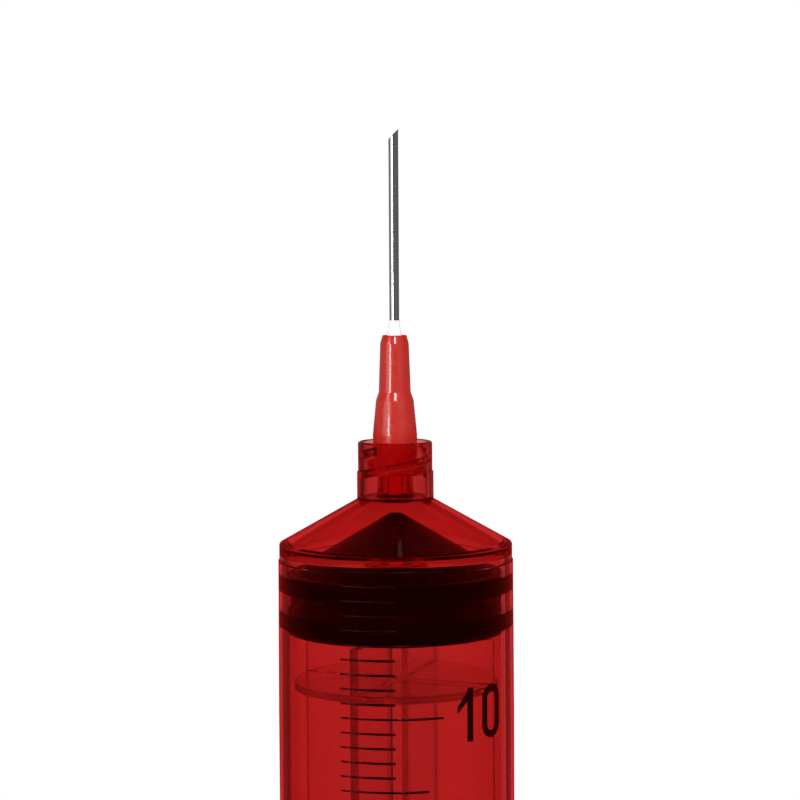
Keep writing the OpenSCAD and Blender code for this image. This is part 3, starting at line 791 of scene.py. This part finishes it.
def make_hub(material):
    rows = [hub_row(HUB_Z + HUB_RING * k) for k in range(FLANGE_RINGS)]
    rows += [hub_row(HUB_Z + HUB_FLANGE_T + HUB_LEDGE + HUB_RING * k) for k in range(LUG_RINGS)]
    mid = HUB_Z + HUB_MID_Z
    cup_z = HUB_TOP_Z - CUP_DEPTH
    socket_z = HUB_Z + SOCKET_DEPTH
    hole_r = NEEDLE_R + NEEDLE_GAP
    rows += outline([
        (HUB_LOW_R, HUB_Z + LUG_TOP), (HUB_LOW_R, HUB_Z + HUB_LOW_Z, HUB_WAIST_FILLET),
        (HUB_MID_R, mid, HUB_EDGE), (HUB_NECK_R, mid + HUB_STEP, HUB_FILLET),
        (HUB_TOP_R, HUB_TOP_Z - HUB_BEVEL, HUB_FILLET), (HUB_RIM_R, HUB_TOP_Z, HUB_EDGE),
        (CUP_R, HUB_TOP_Z, CUP_EDGE), (CUP_R, cup_z, CUP_FILLET), (hole_r, cup_z, HOLE_EDGE),
        (hole_r, socket_z + FUNNEL_LEN, CUP_FILLET),
        (male_r(socket_z) + TAPER_GAP, socket_z, HUB_FILLET),
        (male_r(HUB_Z) + TAPER_GAP, HUB_Z)], turn_deg=12)
    hub = turned("hub_red", rows, segments=240, smooth_deg=38)
    place(hub, "hub", material, "hub_plastic", "needle_hub")


def cut_row(radius, drop):
    """A ring at the needle's slanted point, so far below the cut."""
    slant = math.tan(math.radians(POINT_DEG))
    return lambda degrees: (radius, TIP_Z - drop - slant
                            * (NEEDLE_R - radius * math.cos(math.radians(degrees))))


def make_needle(material):
    hole_r = NEEDLE_R - NEEDLE_WALL
    rows = [
        (NEEDLE_R - NEEDLE_LIP, NEEDLE_FOOT_Z), (NEEDLE_R, NEEDLE_FOOT_Z + NEEDLE_LIP),
        cut_row(NEEDLE_R, NEEDLE_EDGE), cut_row(NEEDLE_R - NEEDLE_LIP / 2, NEEDLE_LIP / 2),
        cut_row(NEEDLE_R - NEEDLE_LIP, 0), cut_row(hole_r + NEEDLE_LIP, 0),
        cut_row(hole_r, NEEDLE_LIP), (hole_r, NEEDLE_FOOT_Z)]
    needle = turned("needle_tube", rows, segments=96, smooth_deg=40)
    place(needle, "needle", material, "needle_steel", "cannula")


def make_glue(material):
    base_z = HUB_TOP_Z - CUP_DEPTH + CUP_GAP
    fill_r = CUP_R - CUP_GAP
    rows = [(NEEDLE_R - GLUE_SINK, base_z), (fill_r, base_z), (fill_r, HUB_TOP_Z - GLUE_EDGE)]
    for k in range(GLUE_STEPS + 1):
        share = k / GLUE_STEPS
        swell = (1 - share) ** 2
        rows.append((GLUE_TOP_R + (GLUE_R - GLUE_TOP_R) * swell,
                     HUB_TOP_Z + (GLUE_TOP_Z - HUB_TOP_Z) * share))
    rows.append((NEEDLE_R - GLUE_SINK, GLUE_TOP_Z))
    glue = turned("glue_bead", rows, segments=96, smooth_deg=50)
    place(glue, "needle", material, "adhesive", "adhesive_bead")


# Studio, in metres and watts
CARD_STEPS = 24
RAY_KINDS = ("camera", "diffuse", "glossy", "transmission", "volume_scatter", "shadow")
BARREL_RED = (0.43, 0.0145, 0.0145)
WINDOW_WHITE = (1.7, 1.7, 1.7)
RIGHT_GREY, LEFT_GREY = (0.14, 0.14, 0.14), (0.24, 0.24, 0.24)
EDGE_GREY = (0.2, 0.2, 0.2)
WALL_DARK, WALL_FRONT, WALL_ABOVE = (0.09, 0.05, 0.05), (0.5, 0.14, 0.14), (0.5, 0.16, 0.16)
WALL_SURFACES = 3
WINDOW_FROM_DEG, WINDOW_TO_DEG = -68, -34
BACK_DEG = 180
EDGE_FROM_DEG, EDGE_TO_DEG = 23, 40
SIDE_FROM_DEG, SIDE_TO_DEG = {"right": 50, "left": 40}, 90
AIM = (0, 0, 0.15)
BACK_STRENGTH, LIGHT_STRENGTH = 1.0, 0.6
FLOOR_R, FLOOR_RINGS, FLOOR_SEGMENTS = 0.4, 12, 96
FADE_FROM_R, FADE_TO_R = 0.12, 0.38
LENS_MM, SENSOR_MM = 102.5, 36
CAMERA_AT = (0.00064, -0.28, 0.17387)
DOWN_DEG, ROLL_DEG = 3.893, -0.33
CLIP_FROM, CLIP_TO = 0.01, 10
BOUNCES = 24


def card(name, from_deg, to_deg, glow_of, rays, distance=0.9, from_z=-0.7, to_z=1.0,
         top_distance=None, through=None):
    """A curved card round the object, seen only by the rays named. 0 degrees is towards the
    camera. With a number for through, rays that went through more surfaces see it white."""
    top = distance if top_distance is None else top_distance
    points = []
    for k in range(CARD_STEPS + 1):
        angle = math.radians(from_deg + (to_deg - from_deg) * k / CARD_STEPS)
        x, y = math.sin(angle), -math.cos(angle)
        points += [(distance * x, distance * y, from_z), (top * x, top * y, to_z)]
    faces = [(2 * k, 2 * k + 2, 2 * k + 3, 2 * k + 1) for k in range(CARD_STEPS)]
    mesh = bpy.data.meshes.new(name)
    mesh.from_pydata(points, [], faces)
    sheet = linked(name, mesh)
    for kind in RAY_KINDS:
        setattr(sheet, "visible_" + kind, kind in rays)
    material = bpy.data.materials.new(name)
    material.use_nodes = True
    tree = material.node_tree
    tree.nodes.clear()
    colour = (*glow_of, 1)
    if through is not None:
        depth = add_node(tree, "LightPath").outputs["Transmission Depth"]
        deep = add_node(tree, "Math", {0: depth, 1: through + 0.5}, operation="GREATER_THAN")
        colour = add_mix(tree, deep.outputs[0], glow_of, (1, 1, 1))
    glow = add_node(tree, "Emission", {"Color": colour})
    add_node(tree, "OutputMaterial", {"Surface": glow.outputs[0]})
    mesh.materials.append(material)


def lamp(name, angle_deg, height, distance, width, tall, watts):
    """An upright soft lamp that faces the object. 0 degrees is towards the camera."""
    light = bpy.data.lights.new(name, "AREA")
    light.shape = "RECTANGLE"
    light.size, light.size_y = width, tall
    light.energy = watts
    holder = linked(name, light)
    angle = math.radians(angle_deg)
    holder.location = (distance * math.sin(angle), -distance * math.cos(angle), height)
    aim = Vector(AIM) - holder.location
    holder.rotation_mode = "QUATERNION"
    holder.rotation_quaternion = aim.to_track_quat("-Z", "Y")
    holder.visible_camera = False
    holder.visible_transmission = False


def make_world():
    """White behind the object, for what the camera, gloss and glass see, and a softer grey
    that lights it."""
    world = bpy.data.worlds.new("studio")
    bpy.context.scene.world = world
    world.use_nodes = True
    tree = world.node_tree
    path = add_node(tree, "LightPath").outputs
    seen = path["Is Camera Ray"]
    for ray in ("Is Glossy Ray", "Is Transmission Ray"):
        seen = add_node(tree, "Math", {0: seen, 1: path[ray]}, operation="MAXIMUM").outputs[0]
    # what lights the object, also from behind the clear plastic, is the softer grey
    direct = add_node(tree, "Math", {0: path["Diffuse Depth"], 1: 0.5}, operation="LESS_THAN")
    shown = add_node(tree, "Math", {0: seen, 1: direct.outputs[0]}, operation="MULTIPLY")
    level = add_node(tree, "MapRange", {"Value": shown.outputs[0], "To Min": LIGHT_STRENGTH,
                                        "To Max": BACK_STRENGTH})
    back = tree.nodes["Background"]
    back.inputs["Color"].default_value = (1, 1, 1, 1)
    tree.links.new(level.outputs["Result"], back.inputs["Strength"])


def make_floor():
    """A round pale floor that keeps the shadow and fades out into the white."""
    points = [(0, 0, 0)]
    for ring in range(1, FLOOR_RINGS + 1):
        radius = FLOOR_R * ring / FLOOR_RINGS
        for k in range(FLOOR_SEGMENTS):
            angle = 2 * math.pi * k / FLOOR_SEGMENTS
            points.append((radius * math.cos(angle), radius * math.sin(angle), 0))
    faces = []
    for k in range(FLOOR_SEGMENTS):
        n = (k + 1) % FLOOR_SEGMENTS
        faces.append((0, 1 + k, 1 + n))
        for ring in range(1, FLOOR_RINGS):
            a, b = 1 + (ring - 1) * FLOOR_SEGMENTS, 1 + ring * FLOOR_SEGMENTS
            faces.append((a + k, b + k, b + n, a + n))
    mesh = bpy.data.meshes.new("floor")
    mesh.from_pydata(points, [], faces)
    floor = linked("floor", mesh)
    dark, pale = (0.93, 0.93, 0.92), (0.97, 0.97, 0.965)
    look = Look("floor", Roughness=0.8)
    look.set("Base Color", look.mixed(look.noise(per_mm=0.05, detail=4), dark, pale))
    away = look.node("VectorMath", {0: look.where()}, operation="LENGTH")
    fade = look.node("MapRange", {"Value": away.outputs["Value"], "From Min": FADE_FROM_R,
                                  "From Max": FADE_TO_R, "To Min": 1.0, "To Max": 0.0},
                     interpolation_type="SMOOTHSTEP")
    look.set("Alpha", fade.outputs["Result"])
    mesh.materials.append(look.material)


def make_studio():
    make_world()
    make_floor()
    # what the barrel's gloss sees, below and above, is as red as it, so that its edges stay red
    card("red_low", 0, 360, BARREL_RED, {"glossy"}, distance=0.03, from_z=-0.2, to_z=0.152)
    card("red_high", 0, 360, BARREL_RED, {"glossy"}, from_z=0.42, to_z=1.3, top_distance=0.0)
    # the needle and the hub see one white window on the left, in a dark room
    card("dark_right", WINDOW_TO_DEG, BACK_DEG, RIGHT_GREY, {"glossy"})
    card("window", WINDOW_FROM_DEG, WINDOW_TO_DEG, WINDOW_WHITE, {"glossy"})
    card("dark_left", -BACK_DEG, WINDOW_FROM_DEG, LEFT_GREY, {"glossy"})
    # grey cards behind draw the edges of the clear plastic. The dark and red ones show only in
    # what stays inside its wall, because rays that go through the whole tube see them white.
    for side, name in ((-1, "right"), (1, "left")):
        card("edge_card_" + name, BACK_DEG + side * EDGE_FROM_DEG, BACK_DEG + side * EDGE_TO_DEG,
             EDGE_GREY, {"transmission"}, distance=1.0)
        card("side_card_" + name, BACK_DEG + side * SIDE_FROM_DEG[name],
             BACK_DEG + side * SIDE_TO_DEG, WALL_DARK, {"transmission"}, distance=1.0,
             through=WALL_SURFACES)
    card("front_card", -90, 90, WALL_FRONT, {"transmission"}, distance=1.0,
         through=WALL_SURFACES)
    card("sky_card", 0, 360, WALL_ABOVE, {"transmission"}, distance=0.95, from_z=0.36,
         to_z=1.3, top_distance=0.0, through=WALL_SURFACES)
    lamp("strip", angle_deg=-34, height=0.17, distance=0.8, width=0.1, tall=0.16, watts=1.2)
    lamp("spot", angle_deg=5, height=0.57, distance=0.7, width=0.12, tall=0.12, watts=1.6)
    lamp("fill", angle_deg=40, height=0.5, distance=0.9, width=0.6, tall=0.6, watts=3.0)
    lamp("glint", angle_deg=-46, height=0.5, distance=0.8, width=0.1, tall=0.1, watts=1.4)
    lamp("top", angle_deg=177, height=0.95, distance=0.33, width=0.03, tall=0.3, watts=0.012)


def make_camera():
    """The photograph's view: looking down a little, and turned by a third of a degree."""
    data = bpy.data.cameras.new("camera")
    data.lens = LENS_MM
    data.sensor_width = SENSOR_MM
    data.clip_start, data.clip_end = CLIP_FROM, CLIP_TO
    camera = linked("camera", data)
    pitch = Matrix.Rotation(math.pi / 2 - math.radians(DOWN_DEG), 4, "X")
    roll = Matrix.Rotation(math.radians(ROLL_DEG), 4, "Z")
    camera.matrix_world = Matrix.Translation(Vector(CAMERA_AT)) @ (pitch @ roll)
    bpy.context.scene.camera = camera


make_camera()
make_studio()
make_barrel(barrel_plastic())
make_print(ink())
make_stopper(stopper_rubber())
make_rod(rod_plastic())
make_hub(hub_plastic())
make_needle(needle_steel())
make_glue(adhesive())

scene = bpy.context.scene
scene.view_settings.view_transform = "Standard"
scene.cycles.max_bounces = BOUNCES
scene.cycles.transmission_bounces = BOUNCES
scene.cycles.glossy_bounces = BOUNCES
scene.cycles.transparent_max_bounces = BOUNCES
